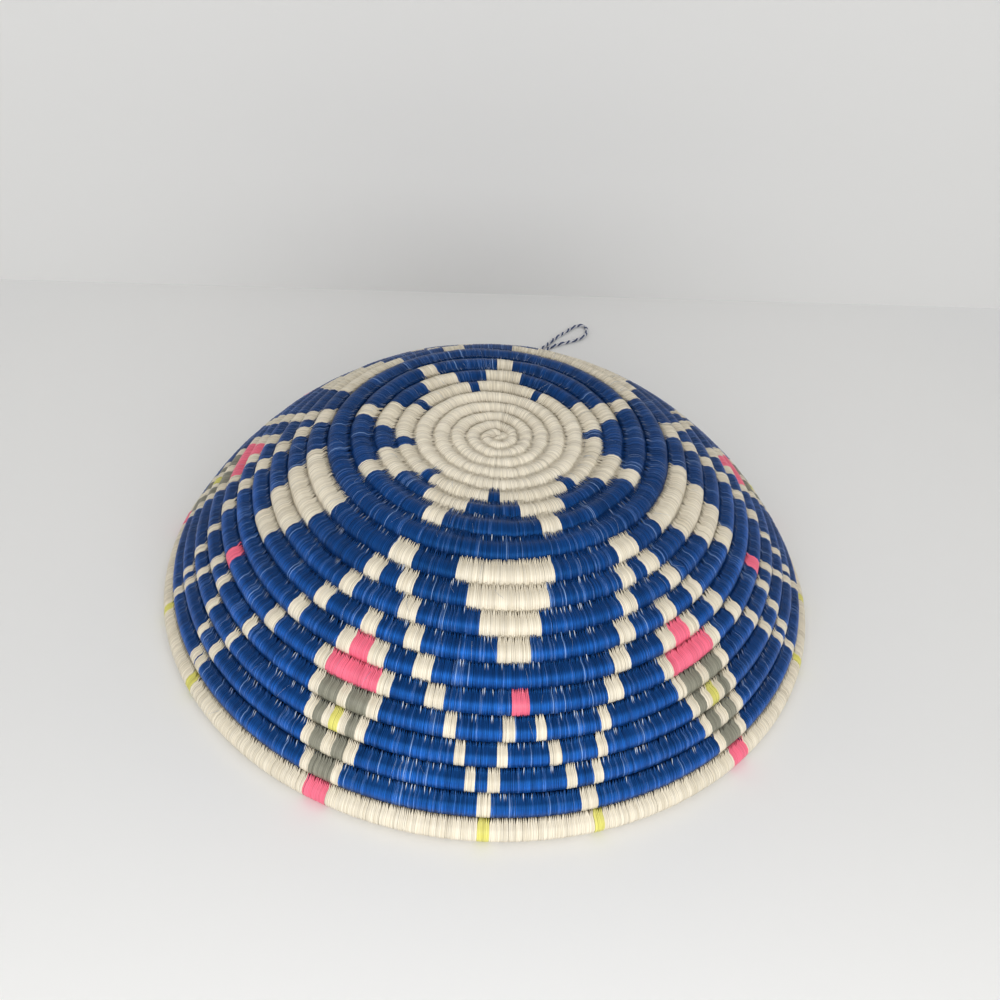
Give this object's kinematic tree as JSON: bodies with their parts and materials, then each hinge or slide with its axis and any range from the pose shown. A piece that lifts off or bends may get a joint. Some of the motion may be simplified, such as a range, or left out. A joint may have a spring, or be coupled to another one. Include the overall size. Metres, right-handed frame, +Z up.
{
  "type": "coiled basket bowl",
  "caption": "Round coiled basket bowl standing on its rim, a wrapped grass coil sewn row on row from base to rim, with a cord loop to hang it by.",
  "frame": {"origin": "centre of the rim, in the plane that it stands on with the mouth down", "axes": "+Z up through the centre of the base, -Y towards the side in the picture, +X to its right"},
  "size_m": [0.305, 0.3883, 0.0896],
  "materials": {
    "undyed_fibre": "matte",
    "dyed_fibre": "matte",
    "core_grass": "matte",
    "hanging_cord": "matte"
  },
  "bodies": {
    "bowl": {"core_coil": "core_grass", "centre_knot": "undyed_fibre", "row_01_wrap": "undyed_fibre", "row_02_wrap": "undyed_fibre", "row_03_wrap": "undyed_fibre", "row_04_wrap": "undyed_fibre", "row_05_wrap": "undyed_fibre", "row_06_wrap": "dyed_fibre", "row_07_wrap": "dyed_fibre", "row_08_wrap": "dyed_fibre", "row_09_wrap": "dyed_fibre", "row_10_wrap": "dyed_fibre", "row_11_wrap": "dyed_fibre", "row_12_wrap": "dyed_fibre", "row_13_wrap": "dyed_fibre", "row_14_wrap": "dyed_fibre", "row_15_wrap": "dyed_fibre", "row_16_wrap": "dyed_fibre", "row_17_wrap": "dyed_fibre", "row_18_wrap": "dyed_fibre", "row_19_wrap": "dyed_fibre", "rim_wrap": "undyed_fibre", "loop_knot": "hanging_cord"},
    "loop": {"hanging_loop": "hanging_cord"}
  },
  "joints": [
    {"name": "loop_swing", "type": "hinge", "parent": "bowl", "child": "loop", "pos_m": [0, 0.15467, 0.0019], "axis": [1, 0, 0], "range_deg": [-80, 110]}
  ]
}
